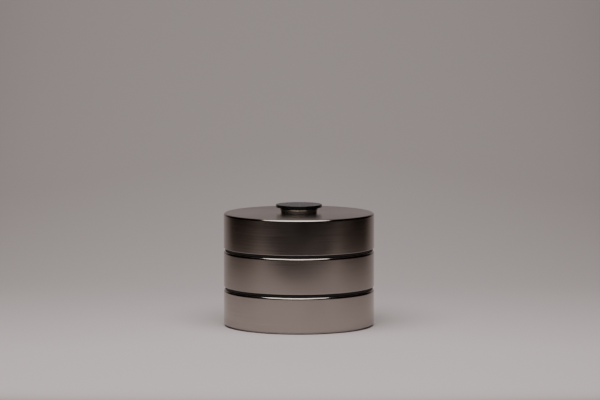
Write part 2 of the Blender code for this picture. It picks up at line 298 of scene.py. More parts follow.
def round_corners(piece, places, radius, segments=6):
    """Bevels the round edges at these (radius, height) places to a radius in millimetres."""
    bpy.context.view_layer.objects.active = piece
    bpy.ops.object.mode_set(mode="EDIT")
    bpy.ops.mesh.select_mode(type="EDGE")
    bpy.ops.mesh.select_all(action="DESELECT")
    select_loops(piece, places)
    bpy.ops.mesh.bevel(offset=radius * MM, segments=segments, affect="EDGES", clamp_overlap=False)
    bpy.ops.object.mode_set(mode="OBJECT")


def finish_piece(piece, body, slot, look, *nodes, sharp=40):
    """Smooths a piece by angle, keeps its flats flat, and gives it its body, finish and CAD nodes. Its slot
    is not used.
    """
    bpy.ops.object.select_all(action="DESELECT")
    piece.select_set(True)
    bpy.context.view_layer.objects.active = piece
    bpy.ops.object.shade_smooth_by_angle(angle=math.radians(sharp))
    flats = piece.modifiers.new("keep_flats_flat", "WEIGHTED_NORMAL")
    flats.keep_sharp = True
    bpy.ops.object.modifier_apply(modifier=flats.name)
    piece.data.materials.clear()
    piece.data.materials.append(look)
    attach(piece, body)
    if nodes:
        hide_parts(*nodes)


def brushed_steel(name, code, roughness, lines_mm, bump_mm):
    """Stainless 304 sheet, drawn and then brushed as it turns on a lathe: a satin surface with fine lines
    round the axis, which spread highlights along it, and faint smears from handling."""
    line_length, smear_size = 40 * MM, 30 * MM
    unpolished_inside, polished_outside = (TANK_RADIUS - 1.8) * MM, (TANK_RADIUS - 0.8) * MM
    look, tree, shader = new_material(name)
    place = add_node(tree, "ShaderNodeTexCoord")
    axes = add_node(tree, "ShaderNodeSeparateXYZ", {0: place.outputs["Object"]})
    flat = add_node(tree, "ShaderNodeCombineXYZ", {0: axes.outputs["X"], 1: axes.outputs["Y"]})
    radius = add_node(tree, "ShaderNodeVectorMath", {0: flat.outputs[0]}, operation="LENGTH")
    along = add_node(
        tree, "ShaderNodeMath", {0: radius.outputs["Value"], 1: axes.outputs["Z"]}, operation="ADD"
    )
    # The lines are real grit lines drawn coarser than life, so that they show, and about 40 mm long.
    fine = add_node(
        tree, "ShaderNodeMath", {0: along.outputs[0], 1: 1 / (lines_mm * MM)}, operation="MULTIPLY"
    )
    slow = add_node(
        tree, "ShaderNodeVectorMath", {0: flat.outputs[0], "Scale": 1 / line_length}, operation="SCALE"
    )
    spread = add_node(tree, "ShaderNodeSeparateXYZ", {0: slow.outputs[0]})
    line_place = add_node(
        tree,
        "ShaderNodeCombineXYZ",
        {0: spread.outputs["X"], 1: spread.outputs["Y"], 2: fine.outputs[0]},
    )
    lines = add_node(
        tree, "ShaderNodeTexNoise", {"Vector": line_place.outputs[0], "Scale": 1.0, "Detail": 3.0}
    )
    smears = add_node(
        tree,
        "ShaderNodeTexNoise",
        {"Vector": place.outputs["Object"], "Scale": 1 / smear_size, "Detail": 2.0},
    )
    rough_lines = add_node(
        tree,
        "ShaderNodeMapRange",
        {0: lines.outputs[0], 1: 0.3, 2: 0.7, 3: roughness - 0.02, 4: roughness + 0.02},
    )
    rough_smears = add_node(
        tree, "ShaderNodeMapRange", {0: smears.outputs[0], 1: 0.45, 2: 0.7, 3: 0.0, 4: 0.035}
    )
    # The flat top and the insides are brushed but not polished afterwards, so they are duller.
    unpolished = add_node(
        tree,
        "ShaderNodeMapRange",
        {0: radius.outputs["Value"], 1: polished_outside, 2: unpolished_inside, 3: 0.0, 4: 0.07},
    )
    rough_polish = add_node(
        tree, "ShaderNodeMath", {0: rough_lines.outputs[0], 1: unpolished.outputs[0]}, operation="ADD"
    )
    rough = add_node(
        tree, "ShaderNodeMath", {0: rough_polish.outputs[0], 1: rough_smears.outputs[0]}, operation="ADD"
    )
    tree.links.new(rough.outputs[0], shader.inputs["Roughness"])
    tint = add_node(tree, "ShaderNodeValToRGB", {0: lines.outputs[0]})
    base = colour(code)
    tint.color_ramp.elements[0].position = 0.3
    tint.color_ramp.elements[0].color = (*(value * 0.87 for value in base[:3]), 1.0)
    tint.color_ramp.elements[1].position = 0.7
    tint.color_ramp.elements[1].color = base
    tree.links.new(tint.outputs[0], shader.inputs["Base Color"])
    raised = add_node(
        tree,
        "ShaderNodeBump",
        {"Height": lines.outputs[0], "Distance": bump_mm * MM, "Strength": 1.0},
    )
    tree.links.new(raised.outputs[0], shader.inputs["Normal"])
    # Highlights run across the brushed lines, so the tangent turns a quarter from the way round.
    way_round = add_node(tree, "ShaderNodeMath", {0: axes.outputs["Y"], 1: -1.0}, operation="MULTIPLY")
    tangent = add_node(tree, "ShaderNodeCombineXYZ", {0: way_round.outputs[0], 1: axes.outputs["X"]})
    tree.links.new(tangent.outputs[0], shader.inputs["Tangent"])
    shader.inputs["Specular Tint"].default_value = (0.98, 0.96, 0.95, 1.0)
    shader.inputs["Anisotropic"].default_value = 0.5
    shader.inputs["Anisotropic Rotation"].default_value = 0.25
    shader.inputs["Metallic"].default_value = 1.0
    return look


body_steel = brushed_steel(
    "brushed_stainless_body", "#A9A099", roughness=0.14, lines_mm=0.35, bump_mm=0.0004
)

# The middle of the bottom is pressed down a little, so the tank stands clear of its rounded edge.
STAND_HEIGHT = 0.8
STAND_RADIUS = TANK_RADIUS - 1.6
STAND_ROUND = 0.2
FOOT_ROUND = 0.6
LIP_ROUND = 0.35
INSIDE_BEND = 0.8
# The radius of the first ring of faces round the middle of a disc.
CENTRE_RING = 2.0
base_outline = [
    (0.0, 0.0),
    (CENTRE_RING, 0.0),
    (STAND_RADIUS, 0.0),
    (STAND_RADIUS, STAND_HEIGHT),
    (TANK_RADIUS, STAND_HEIGHT),
    (TANK_RADIUS, BASE_SHOULDER),
    (LIP_RADIUS, BASE_SHOULDER),
    (LIP_RADIUS, BASE_SHOULDER + LIP_HEIGHT),
    (LIP_RADIUS - SHEET, BASE_SHOULDER + LIP_HEIGHT),
    (LIP_RADIUS - SHEET, BASE_SHOULDER - SHEET),
    (TANK_RADIUS - SHEET, BASE_SHOULDER - SHEET),
    (TANK_RADIUS - SHEET, SHEET),
    (CENTRE_RING, SHEET),
    (0.0, SHEET),
]
base = press_round("base_cup_shell", base_outline)
round_corners(base, [(TANK_RADIUS, BASE_SHOULDER)], SHOULDER_ROUND, 8)
round_corners(base, [(TANK_RADIUS, STAND_HEIGHT)], FOOT_ROUND, 8)
round_corners(base, [(STAND_RADIUS, 0.0)], STAND_ROUND, 3)
round_corners(
    base,
    [(LIP_RADIUS, BASE_SHOULDER + LIP_HEIGHT), (LIP_RADIUS - SHEET, BASE_SHOULDER + LIP_HEIGHT)],
    LIP_ROUND,
    4,
)
round_corners(
    base, [(TANK_RADIUS - SHEET, SHEET), (LIP_RADIUS - SHEET, BASE_SHOULDER - SHEET)], INSIDE_BEND, 5
)
finish_piece(base, "base", "body_steel", body_steel, "base_cup")

# --------------------------------------------------------------------------------- rubber seals
# A flat ring of black nitrile rubber lies round the foot of each lip. The next section's rim
# presses on it, and its edge is the dark line between the bands.


def moulded_rubber(name):
    """Black nitrile rubber, moulded: nearly matt, with a faint bloom and fine grain."""
    grain_size, grain_height = 1.2 * MM, 0.02 * MM
    look, tree, shader = new_material(name)
    place = add_node(tree, "ShaderNodeTexCoord")
    grain = add_node(
        tree,
        "ShaderNodeTexNoise",
        {"Vector": place.outputs["Object"], "Scale": 1 / grain_size, "Detail": 2.0},
    )
    shade = add_node(tree, "ShaderNodeValToRGB", {0: grain.outputs[0]})
    shade.color_ramp.elements[0].color = colour("#0E0D0D")
    shade.color_ramp.elements[1].color = colour("#1E1C1C")
    tree.links.new(shade.outputs[0], shader.inputs["Base Color"])
    raised = add_node(tree, "ShaderNodeBump", {"Height": grain.outputs[0], "Distance": grain_height})
    tree.links.new(raised.outputs[0], shader.inputs["Normal"])
    shader.inputs["Roughness"].default_value = 0.62
    return look


seal_rubber = moulded_rubber("nitrile_rubber")


def seal(name, node, body):
    """One rubber ring in the space that its CAD node holds, filled out to the metal above and below."""
    low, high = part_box(node)
    stretch, gap_filled = 0.15, 0.2
    outer = high.x / MM
    inner = LIP_RADIUS + stretch
    bottom, top = low.z / MM - gap_filled, high.z / MM + gap_filled
    outline = [(inner, bottom), (outer, bottom), (outer, top), (inner, top)]
    ring = press_round(name, outline)
    round_corners(ring, [(outer, bottom), (outer, top)], 0.3, 4)
    finish_piece(ring, body, "seal_rubber", seal_rubber, node)


seal("lower_seal_ring", "lower_seal", "base")
seal("upper_seal_ring", "upper_seal", "ring")

# -------------------------------------------------------------------------------- extension ring
# The extension ring is an open band of the same sheet. Its lower rim is rolled in on itself, and
# its upper rim is necked in to a lip like the base's.

HEM = 1.5
HEM_HEIGHT = 6.4
HEM_ROUND = 0.9
HEM_TOP_ROUND = 0.3
RING_RIM_ROUND = 0.5
RING_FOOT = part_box("extension_ring")[0].z / MM
RING_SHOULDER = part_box("extension_ring")[1].z / MM - LIP_HEIGHT
bore = TANK_RADIUS - SHEET
ring_outline = [
    (TANK_RADIUS, RING_FOOT),
    (TANK_RADIUS, RING_SHOULDER),
    (LIP_RADIUS, RING_SHOULDER),
    (LIP_RADIUS, RING_SHOULDER + LIP_HEIGHT),
    (LIP_RADIUS - SHEET, RING_SHOULDER + LIP_HEIGHT),
    (LIP_RADIUS - SHEET, RING_SHOULDER - SHEET),
    (bore, RING_SHOULDER - SHEET),
    (bore, RING_FOOT + HEM_HEIGHT),
    (TANK_RADIUS - HEM, RING_FOOT + HEM_HEIGHT),
    (TANK_RADIUS - HEM, RING_FOOT),
]
ring = press_round("extension_ring_shell", ring_outline)
round_corners(ring, [(TANK_RADIUS, RING_SHOULDER)], SHOULDER_ROUND, 8)
round_corners(ring, [(TANK_RADIUS - HEM, RING_FOOT)], HEM_ROUND, 8)
round_corners(ring, [(TANK_RADIUS, RING_FOOT)], RING_RIM_ROUND, 6)
round_corners(
    ring,
    [(LIP_RADIUS, RING_SHOULDER + LIP_HEIGHT), (LIP_RADIUS - SHEET, RING_SHOULDER + LIP_HEIGHT)],
    LIP_ROUND,
    4,
)
round_corners(ring, [(LIP_RADIUS - SHEET, RING_SHOULDER - SHEET)], INSIDE_BEND, 5)
round_corners(ring, [(TANK_RADIUS - HEM, RING_FOOT + HEM_HEIGHT)], HEM_TOP_ROUND, 4)
finish_piece(ring, "ring", "body_steel", body_steel, "extension_ring")

# --------------------------------------------------------------------------------------- the lid
# The lid is drawn like the base, upside down, with a hole in the middle for the neck. Its top is
# flat and brushed in circles.

LID_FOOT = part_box("lid_shell")[0].z / MM
LID_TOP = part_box("lid_shell")[1].z / MM
LID_EDGE_ROUND = 1.2
LID_RIM_ROUND = 0.35
NECK_RADIUS = 10.4
lid_hole = NECK_RADIUS + 0.05
lid_outline = [
    (TANK_RADIUS, LID_FOOT),
    (TANK_RADIUS, LID_TOP),
    (lid_hole, LID_TOP),
    (lid_hole, LID_TOP - SHEET),
    (bore, LID_TOP - SHEET),
    (bore, LID_FOOT + HEM_HEIGHT),
    (TANK_RADIUS - HEM, LID_FOOT + HEM_HEIGHT),
    (TANK_RADIUS - HEM, LID_FOOT),
]
lid = press_round("lid_shell_pressed", lid_outline)
round_corners(lid, [(TANK_RADIUS, LID_TOP)], LID_EDGE_ROUND, 10)
round_corners(lid, [(TANK_RADIUS - HEM, LID_FOOT)], HEM_ROUND, 8)
round_corners(lid, [(TANK_RADIUS, LID_FOOT)], LID_RIM_ROUND, 5)
round_corners(
    lid, [(bore, LID_TOP - SHEET), (TANK_RADIUS - HEM, LID_FOOT + HEM_HEIGHT)], HEM_TOP_ROUND, 4
)
finish_piece(lid, "lid", "body_steel", body_steel, "lid_shell")

# ----------------------------------------------------------------------------------- filler neck
# The neck is a turned tube set in the lid, with a welded flange under it. Its top is rolled over
# outwards into a bead, which the cap sits on.

NECK_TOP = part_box("filler_neck")[1].z / MM
NECK_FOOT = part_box("filler_neck")[0].z / MM
NECK_WALL = 1.0
BEAD_RADIUS = 0.6
BEAD_MIDDLE = NECK_TOP - BEAD_RADIUS
BEAD_STEPS = 12
# The neck's steel is painted paler than the body's: a painted highlight that keeps it bright in the cap's
# shadow.
neck_steel = brushed_steel(
    "turned_stainless_neck", "#CFC6BF", roughness=0.12, lines_mm=0.3, bump_mm=0.0002
)
flange_radius = 12.5
flange_top = LID_TOP - SHEET - 0.05
neck_outline = [
    (NECK_RADIUS - NECK_WALL, NECK_FOOT),
    (NECK_RADIUS, NECK_FOOT),
    (NECK_RADIUS, flange_top - SHEET),
    (flange_radius, flange_top - SHEET),
    (flange_radius, flange_top),
    (NECK_RADIUS, flange_top),
    (NECK_RADIUS, BEAD_MIDDLE - BEAD_RADIUS),
]
for step in range(1, BEAD_STEPS):
    angle = math.pi * (step / BEAD_STEPS - 0.5)
    neck_outline.append(
        (NECK_RADIUS + BEAD_RADIUS * math.cos(angle), BEAD_MIDDLE + BEAD_RADIUS * math.sin(angle))
    )
neck_outline += [(NECK_RADIUS, NECK_TOP), (NECK_RADIUS - NECK_WALL, NECK_TOP)]
neck = press_round("filler_neck_tube", neck_outline, 96)
round_corners(neck, [(NECK_RADIUS - NECK_WALL, NECK_TOP)], 0.3, 4)
round_corners(neck, [(flange_radius, flange_top - SHEET), (flange_radius, flange_top)], 0.2, 3)
finish_piece(neck, "lid", "neck_steel", neck_steel, "filler_neck")

# ------------------------------------------------------------------------------------------- cap
# The cap is one moulding in glossy black ABS: a thin round flange on a hollow plug, with a groove
# for its O-ring.

CAP_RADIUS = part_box("cap")[1].x / MM
CAP_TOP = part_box("cap")[1].z / MM
CAP_THICKNESS = 1.6
CAP_UNDER = CAP_TOP - CAP_THICKNESS
CAP_TOP_ROUND = 0.25
CAP_UNDER_ROUND = 0.15
PLUG_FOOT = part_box("cap")[0].z / MM
PLUG_RADIUS = 9.0
PLUG_BORE = 7.0
PLUG_ROUND = 0.4


def moulded_abs(name):
    """ABS, injection moulded in a polished tool: black, glossy, with faint rub marks."""
    rub_size = 4 * MM
    look, tree, shader = new_material(name)
    place = add_node(tree, "ShaderNodeTexCoord")
    rubs = add_node(
        tree,
        "ShaderNodeTexNoise",
        {"Vector": place.outputs["Object"], "Scale": 1 / rub_size, "Detail": 4.0},
    )
    rough = add_node(tree, "ShaderNodeMapRange", {0: rubs.outputs[0], 1: 0.35, 2: 0.7, 3: 0.2, 4: 0.34})
    tree.links.new(rough.outputs[0], shader.inputs["Roughness"])
    shade = add_node(tree, "ShaderNodeValToRGB", {0: rubs.outputs[0]})
    shade.color_ramp.elements[0].color = colour("#0B0A0C")
    shade.color_ramp.elements[1].color = colour("#121114")
    tree.links.new(shade.outputs[0], shader.inputs["Base Color"])
    shader.inputs["IOR"].default_value = 1.53
    return look


cap_plastic = moulded_abs("glossy_black_abs")
groove_radius = 8.15
groove_middle = (CAP_UNDER + PLUG_FOOT) / 2
groove_half = 0.85
cap_outline = [
    (0.0, CAP_UNDER),
    (CENTRE_RING, CAP_UNDER),
    (PLUG_BORE, CAP_UNDER),
    (PLUG_BORE, PLUG_FOOT),
    (PLUG_RADIUS, PLUG_FOOT),
    (PLUG_RADIUS, groove_middle - groove_half),
    (groove_radius, groove_middle - groove_half),
    (groove_radius, groove_middle + groove_half),
    (PLUG_RADIUS, groove_middle + groove_half),
    (PLUG_RADIUS, CAP_UNDER),
    (CAP_RADIUS, CAP_UNDER),
    (CAP_RADIUS, CAP_TOP),
    (CENTRE_RING, CAP_TOP),
    (0.0, CAP_TOP),
]
cap = press_round("stopper_cap", cap_outline, 128)
round_corners(cap, [(CAP_RADIUS, CAP_TOP)], CAP_TOP_ROUND, 5)
round_corners(cap, [(CAP_RADIUS, CAP_UNDER)], CAP_UNDER_ROUND, 4)
round_corners(cap, [(PLUG_RADIUS, PLUG_FOOT), (PLUG_BORE, PLUG_FOOT)], PLUG_ROUND, 4)
finish_piece(cap, "cap", "cap_plastic", cap_plastic, "cap")

# ------------------------------------------------------------------------------- the cap's O-ring
# A bought-in nitrile O-ring, moulded in two halves, so a thin line of flash runs round its outside.
# It is stretched into the plug's groove, which flattens it where it grips.

seal_low, seal_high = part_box("cap_seal")
section_radius = (seal_high.z - seal_low.z) / 2 / MM
section_middle = (seal_high.z + seal_low.z) / 2 / MM
section_centre = seal_high.x / MM - section_radius
flash = 0.03
flat_inside = groove_radius + 0.12
section_steps = 20
seal_outline = []
for step in range(section_steps):
    angle = math.tau * step / section_steps
    reach = section_radius + (flash if step == 0 else 0.0)
    flattened = max(section_centre + reach * math.cos(angle), flat_inside)
    seal_outline.append((flattened, section_middle + section_radius * math.sin(angle)))
o_ring = press_round("cap_o_ring", seal_outline, 96)
finish_piece(o_ring, "cap", "seal_rubber", seal_rubber, "cap_seal", sharp=50)

# ---------------------------------------------------------------------------------- light trap
# Under the neck hangs a pressed cup on three riveted posts, inside a skirt that is spot welded to
# the lid. Both are 0.8 mm stainless sheet, left as pickled, with dried water marks.

TRAP_SHEET = 0.8


def pickled_sheet(name, code, roughness):
    """Cold rolled stainless sheet, 2B finish: pickled after pressing, so greyish and even, with a fine
    grain, and marked by drops of water that dried on it."""
    grain_size, grain_height = 0.7 * MM, 0.003 * MM
    drop_size, cloud_size = 9 * MM, 25 * MM
    look, tree, shader = new_material(name)
    place = add_node(tree, "ShaderNodeTexCoord")
    grain = add_node(
        tree,
        "ShaderNodeTexNoise",
        {"Vector": place.outputs["Object"], "Scale": 1 / grain_size, "Detail": 3.0},
    )
    drops = add_node(
        tree, "ShaderNodeTexVoronoi", {"Vector": place.outputs["Object"], "Scale": 1 / drop_size}
    )
    cloud = add_node(
        tree,
        "ShaderNodeTexNoise",
        {"Vector": place.outputs["Object"], "Scale": 1 / cloud_size, "Detail": 2.0},
    )
    # A dried drop leaves a thin pale line at its edge, on about a third of the sheet.
    edge = add_node(tree, "ShaderNodeValToRGB", {0: drops.outputs["Distance"]})
    edge.color_ramp.elements[0].position = 0.26
    edge.color_ramp.elements[0].color = (0.0, 0.0, 0.0, 1.0)
    edge.color_ramp.elements[1].position = 0.30
    edge.color_ramp.elements[1].color = (1.0, 1.0, 1.0, 1.0)
    after = edge.color_ramp.elements.new(0.34)
    after.color = (0.0, 0.0, 0.0, 1.0)
    patch = add_node(tree, "ShaderNodeMapRange", {0: cloud.outputs[0], 1: 0.52, 2: 0.6, 3: 0.0, 4: 1.0})
    marks = add_node(tree, "ShaderNodeMath", {0: edge.outputs[0], 1: patch.outputs[0]}, operation="MULTIPLY")
    tint = add_node(tree, "ShaderNodeValToRGB", {0: grain.outputs[0]})
    base = colour(code)
    tint.color_ramp.elements[0].position = 0.3
    tint.color_ramp.elements[0].color = (*(value * 0.9 for value in base[:3]), 1.0)
    tint.color_ramp.elements[1].position = 0.7
    tint.color_ramp.elements[1].color = base
    pale = add_node(tree, "ShaderNodeMix", data_type="RGBA")
    strength = add_node(tree, "ShaderNodeMath", {0: marks.outputs[0], 1: 0.25}, operation="MULTIPLY")
    tree.links.new(strength.outputs[0], pale.inputs[0])
    tree.links.new(tint.outputs[0], pale.inputs[6])
    pale.inputs[7].default_value = colour("#D8D6D0")
    tree.links.new(pale.outputs[2], shader.inputs["Base Color"])
    rough = add_node(
        tree,
        "ShaderNodeMapRange",
        {0: grain.outputs[0], 1: 0.3, 2: 0.7, 3: roughness - 0.04, 4: roughness + 0.04},
    )
    rough_marks = add_node(tree, "ShaderNodeMath", {0: marks.outputs[0], 1: 0.18}, operation="MULTIPLY")
    rough_all = add_node(
        tree, "ShaderNodeMath", {0: rough.outputs[0], 1: rough_marks.outputs[0]}, operation="ADD"
    )
    tree.links.new(rough_all.outputs[0], shader.inputs["Roughness"])
    raised = add_node(tree, "ShaderNodeBump", {"Height": grain.outputs[0], "Distance": grain_height})
    tree.links.new(raised.outputs[0], shader.inputs["Normal"])
    shader.inputs["Metallic"].default_value = 1.0
    return look


def weld_nugget(name, radius, height):
    """A small round blob of weld metal at the origin, flat below, in millimetres."""
    bpy.ops.object.select_all(action="DESELECT")
    bpy.ops.mesh.primitive_uv_sphere_add(segments=10, ring_count=6, radius=radius * MM, location=(0, 0, 0))
    nugget = bpy.context.object
    nugget.name = name
    bpy.ops.object.mode_set(mode="EDIT")
    bpy.ops.mesh.select_all(action="SELECT")
    bpy.ops.transform.resize(value=(1.0, 1.0, height / radius), center_override=(0.0, 0.0, 0.0))
    bpy.ops.object.mode_set(mode="OBJECT")
    return nugget


def place_copies(piece, places):
    """Copies a piece to each (x, y, z) place in millimetres and joins the copies into one piece."""
    name = piece.name
    made = []
    for place in places:
        bpy.ops.object.select_all(action="DESELECT")
        piece.select_set(True)
        bpy.context.view_layer.objects.active = piece
        bpy.ops.object.duplicate(linked=False)
        copy = bpy.context.object
        copy.location = [value * MM for value in place]
        made.append(copy)
    bpy.data.objects.remove(piece)
    bpy.ops.object.select_all(action="DESELECT")
    for copy in made:
        copy.select_set(True)
    bpy.context.view_layer.objects.active = made[0]
    bpy.ops.object.transform_apply(location=True, rotation=True, scale=True)
    if len(made) > 1:
        bpy.ops.object.join()
    joined = bpy.context.object
    joined.name = name
    return joined


inner_steel = pickled_sheet("pickled_stainless_sheet", "#C6C1BC", 0.33)
trap_low, trap_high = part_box("trap_cup")
trap_radius = trap_high.x / MM
trap_floor = trap_low.z / MM
trap_rim = trap_high.z / MM
trap_outline = [
    (0.0, trap_floor),
    (CENTRE_RING, trap_floor),
    (trap_radius, trap_floor),
    (trap_radius, trap_rim),
    (trap_radius - TRAP_SHEET, trap_rim),
    (trap_radius - TRAP_SHEET, trap_floor + TRAP_SHEET),
    (CENTRE_RING, trap_floor + TRAP_SHEET),
    (0.0, trap_floor + TRAP_SHEET),
]
trap_cup = press_round("trap_cup_pressed", trap_outline, 128)
round_corners(trap_cup, [(trap_radius, trap_floor)], 1.2, 6)
round_corners(trap_cup, [(trap_radius - TRAP_SHEET, trap_floor + TRAP_SHEET)], 0.5, 4)
round_corners(trap_cup, [(trap_radius, trap_rim), (trap_radius - TRAP_SHEET, trap_rim)], 0.32, 4)
finish_piece(trap_cup, "lid", "inner_steel", inner_steel, "trap_cup")

skirt_low, skirt_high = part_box("trap_skirt")
skirt_foot = skirt_low.z / MM
skirt_flange = skirt_high.x / MM
skirt_top = LID_TOP - SHEET
SKIRT_RADIUS = 19.3
skirt_outline = [
    (SKIRT_RADIUS - TRAP_SHEET, skirt_foot),
    (SKIRT_RADIUS, skirt_foot),
    (SKIRT_RADIUS, skirt_top - TRAP_SHEET),
    (skirt_flange, skirt_top - TRAP_SHEET),
    (skirt_flange, skirt_top),
    (SKIRT_RADIUS - TRAP_SHEET, skirt_top),
]
skirt = press_round("trap_skirt_pressed", skirt_outline, 128)
round_corners(skirt, [(SKIRT_RADIUS, skirt_top - TRAP_SHEET)], 0.5, 4)
round_corners(skirt, [(SKIRT_RADIUS - TRAP_SHEET, skirt_top)], 0.9, 5)
round_corners(skirt, [(SKIRT_RADIUS - TRAP_SHEET, skirt_foot), (SKIRT_RADIUS, skirt_foot)], 0.3, 4)
round_corners(skirt, [(skirt_flange, skirt_top - TRAP_SHEET)], 0.2, 3)
finish_piece(skirt, "lid", "inner_steel", inner_steel, "trap_skirt")

WELD_COUNT = 8
weld_circle = (SKIRT_RADIUS + skirt_flange) / 2 + 0.2
weld_height = skirt_top - TRAP_SHEET
weld_places = []
for number in range(WELD_COUNT):
    angle = math.tau * (number + 0.5) / WELD_COUNT
    weld_places.append((weld_circle * math.cos(angle), weld_circle * math.sin(angle), weld_height))
skirt_welds = place_copies(weld_nugget("skirt_spot_welds", radius=0.9, height=0.12), weld_places)
finish_piece(skirt_welds, "lid", "inner_steel", inner_steel, sharp=80)

# Each post is a turned pin with a collar on the cup's floor and a head riveted over below it.
POST_COUNT = 3
post_radius = 0.8
post_centre_ring = 0.7
collar_radius = 1.3
collar_top = trap_floor + TRAP_SHEET + 0.45
head_bottom = trap_floor - 0.3
flare_start = skirt_top - 0.5
flare_radius = 1.2
post_outline = [
    (0.0, head_bottom),
    (post_centre_ring, head_bottom),
    (collar_radius, trap_floor - 0.02),
    (collar_radius, collar_top),
    (post_radius, collar_top),
    (post_radius, flare_start),
    (flare_radius, skirt_top),
    (post_centre_ring, skirt_top),
    (0.0, skirt_top),
]
for number in range(POST_COUNT):
    low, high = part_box(f"trap_post_{number + 1}")
    post = press_round(f"trap_pin_{number + 1}", post_outline, 20)
    round_corners(post, [(post_centre_ring, head_bottom)], 0.12, 2)
    round_corners(post, [(collar_radius, collar_top)], 0.1, 2)
    post.location = ((low.x + high.x) / 2, (low.y + high.y) / 2, 0.0)
    bpy.ops.object.select_all(action="DESELECT")
    post.select_set(True)
    bpy.ops.object.transform_apply(location=True, rotation=True, scale=True)
    finish_piece(post, "lid", "inner_steel", inner_steel, f"trap_post_{number + 1}")

# -------------------------------------------------------------------------------------- lifter
# A drilled plate lies under the reel, with a wire rod riveted through its middle. The rod's top is
# bent round into an eye for a finger, so that the reel can be lifted out of the developer.

foot_low, foot_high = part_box("lifter_foot")
foot_radius = foot_high.x / MM
foot_bottom = foot_low.z / MM
foot_top = foot_high.z / MM
foot_outline = [
    (0.0, foot_bottom),
    (CENTRE_RING, foot_bottom),
    (foot_radius, foot_bottom),
    (foot_radius, foot_top),
    (CENTRE_RING, foot_top),
    (0.0, foot_top),
]
foot = press_round("lifter_plate", foot_outline, 96)
HOLE_COUNT = 6
HOLE_CIRCLE = 10.5
HOLE_RADIUS = 2.6
DRILL_LENGTH = 4.0


def soften_edges(piece, width, segments):
    """Bevels every sharp edge of the active piece to a width in millimetres."""
    soften = piece.modifiers.new("soft_edges", "BEVEL")
    soften.width = width * MM
    soften.segments = segments
    soften.limit_method = "ANGLE"
    soften.angle_limit = math.radians(60)
    bpy.ops.object.modifier_apply(modifier=soften.name)


for number in range(HOLE_COUNT):
    angle = math.tau * (number + 0.5) / HOLE_COUNT
    bpy.ops.object.select_all(action="DESELECT")
    bpy.ops.mesh.primitive_cylinder_add(
        vertices=40,
        radius=HOLE_RADIUS * MM,
        depth=DRILL_LENGTH * MM,
        location=(
            HOLE_CIRCLE * MM * math.cos(angle),
            HOLE_CIRCLE * MM * math.sin(angle),
            (foot_bottom + foot_top) / 2 * MM,
        ),
    )
    drill = bpy.context.object
    hole = foot.modifiers.new("drain_hole", "BOOLEAN")
    hole.operation = "DIFFERENCE"
    hole.solver = "EXACT"
    hole.object = drill
    bpy.context.view_layer.objects.active = foot
    bpy.ops.object.modifier_apply(modifier=hole.name)
    bpy.data.objects.remove(drill)
bpy.context.view_layer.objects.active = foot
soften_edges(foot, 0.18, 3)
finish_piece(foot, "lifter", "inner_steel", inner_steel, "lifter_foot", sharp=50)


def drawn_wire(name, code, roughness):
    """Stainless wire, drawn through a die and electropolished: smooth and bright, with faint waves along it
    and duller patches where it is handled and where fixer dried."""
    wave_size, wave_height, patch_size = 1.5 * MM, 0.006 * MM, 12 * MM
    look, tree, shader = new_material(name)
    place = add_node(tree, "ShaderNodeTexCoord")
    waves = add_node(
        tree,
        "ShaderNodeTexNoise",
        {"Vector": place.outputs["Object"], "Scale": 1 / wave_size, "Detail": 2.0},
    )
    patches = add_node(
        tree,
        "ShaderNodeTexNoise",
        {"Vector": place.outputs["Object"], "Scale": 1 / patch_size, "Detail": 3.0},
    )
    base = colour(code)
    tint = add_node(tree, "ShaderNodeValToRGB", {0: patches.outputs[0]})
    tint.color_ramp.elements[0].position = 0.35
    tint.color_ramp.elements[0].color = (*(value * 0.82 for value in base[:3]), 1.0)
    tint.color_ramp.elements[1].position = 0.55
    tint.color_ramp.elements[1].color = base
    tree.links.new(tint.outputs[0], shader.inputs["Base Color"])
    rough = add_node(
        tree,
        "ShaderNodeMapRange",
        {0: patches.outputs[0], 1: 0.35, 2: 0.65, 3: roughness + 0.12, 4: roughness},
    )
    tree.links.new(rough.outputs[0], shader.inputs["Roughness"])
    raised = add_node(tree, "ShaderNodeBump", {"Height": waves.outputs[0], "Distance": wave_height})
    tree.links.new(raised.outputs[0], shader.inputs["Normal"])
    shader.inputs["Metallic"].default_value = 1.0
    return look


reel_wire = drawn_wire("drawn_stainless_wire", "#CDC9C4", 0.2)


def bend_wire(name, path, radius, roundness):
    """Round wire bent along a path of (x, y, z) points in millimetres, with its cut ends rounded over."""
    end_round = 0.55 * radius * MM
    line = bpy.data.curves.new(name, "CURVE")
    line.dimensions = "3D"
    line.bevel_depth = radius * MM
    line.bevel_resolution = roundness
    line.use_fill_caps = True
    route = line.splines.new("POLY")
    route.points.add(len(path) - 1)
    for point, place in zip(route.points, path):
        point.co = (*(value * MM for value in place), 1.0)
    wire = bpy.data.objects.new(name, line)
    bpy.context.collection.objects.link(wire)
    bpy.ops.object.select_all(action="DESELECT")
    wire.select_set(True)
    bpy.context.view_layer.objects.active = wire
    bpy.ops.object.convert(target="MESH")
    wire = bpy.context.object
    bpy.ops.object.mode_set(mode="EDIT")
    bpy.ops.mesh.select_mode(type="FACE")
    bpy.ops.mesh.select_all(action="SELECT")
    bpy.ops.mesh.remove_doubles(threshold=0.001 * MM)
    bpy.ops.mesh.normals_make_consistent(inside=False)
    bpy.ops.mesh.select_all(action="DESELECT")
    shape = bmesh.from_edit_mesh(wire.data)
    for face in shape.faces:
        face.select_set(len(face.verts) > 4)
    bmesh.update_edit_mesh(wire.data)
    bpy.ops.mesh.bevel(offset=end_round, segments=3, affect="EDGES")
    bpy.ops.object.mode_set(mode="OBJECT")
    return wire


